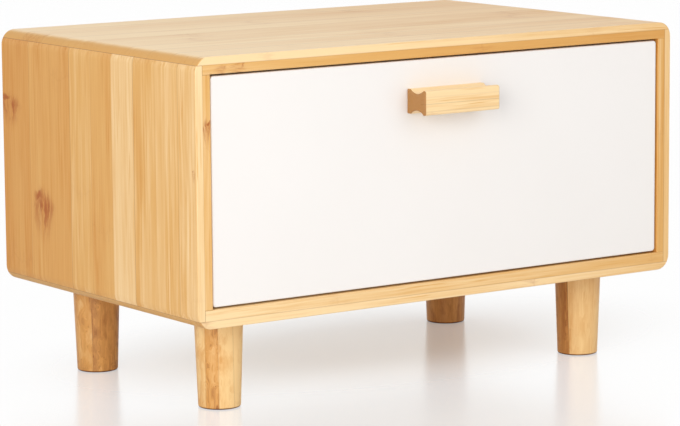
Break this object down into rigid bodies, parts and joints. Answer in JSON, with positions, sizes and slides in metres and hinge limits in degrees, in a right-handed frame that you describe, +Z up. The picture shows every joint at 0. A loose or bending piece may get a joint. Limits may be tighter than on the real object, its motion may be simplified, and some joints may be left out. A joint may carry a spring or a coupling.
{
  "type": "bread box with drawer",
  "caption": "Bamboo bread box on tapered round legs, with a full-width drawer behind an inset white front with a bar handle.",
  "frame": {"origin": "on the floor, under the middle of the whole box with its handle", "axes": "+X to the right along the front, +Y from the front to the back, +Z up; the drawer opens towards -Y"},
  "size_m": [0.35, 0.237, 0.21],
  "materials": {
    "case_bamboo": "sanded bamboo, two glued layers, clear matt lacquer",
    "leg_bamboo": "turned bamboo, clear matt lacquer",
    "drawer_bamboo": "sanded bamboo, unlacquered",
    "panel_bamboo": "thin bamboo plywood, clear matt lacquer",
    "handle_bamboo": "sanded bamboo, clear matt lacquer",
    "white_lacquer": "fibreboard with a satin white lacquer",
    "dowel_wood": "fluted beech dowel",
    "zinc_steel": "bright zinc-plated steel",
    "zinc_insert": "yellowish zinc-plated steel"
  },
  "bodies": {
    "case": {"top_board": "case_bamboo", "base_board": "case_bamboo", "left_side_board": "case_bamboo", "right_side_board": "case_bamboo", "back_panel": "panel_bamboo", "left_runner": "drawer_bamboo", "right_runner": "drawer_bamboo", "runner_screws": "zinc_steel", "front_left_leg": "leg_bamboo", "front_right_leg": "leg_bamboo", "back_left_leg": "leg_bamboo", "back_right_leg": "leg_bamboo", "leg_hanger_bolts": "zinc_steel", "leg_insert_nuts": "zinc_insert"},
    "drawer": {"drawer_front": "white_lacquer", "handle": "handle_bamboo", "handle_screws": "zinc_steel", "drawer_left_side": "drawer_bamboo", "drawer_right_side": "drawer_bamboo", "drawer_back": "drawer_bamboo", "drawer_bottom": "drawer_bamboo", "drawer_front_dowels": "dowel_wood", "drawer_back_dowels": "dowel_wood"}
  },
  "joints": [
    {"name": "drawer_slide", "type": "slide", "parent": "case", "child": "drawer", "axis": [0, -1, 0], "range_m": [0, 0.15]}
  ]
}
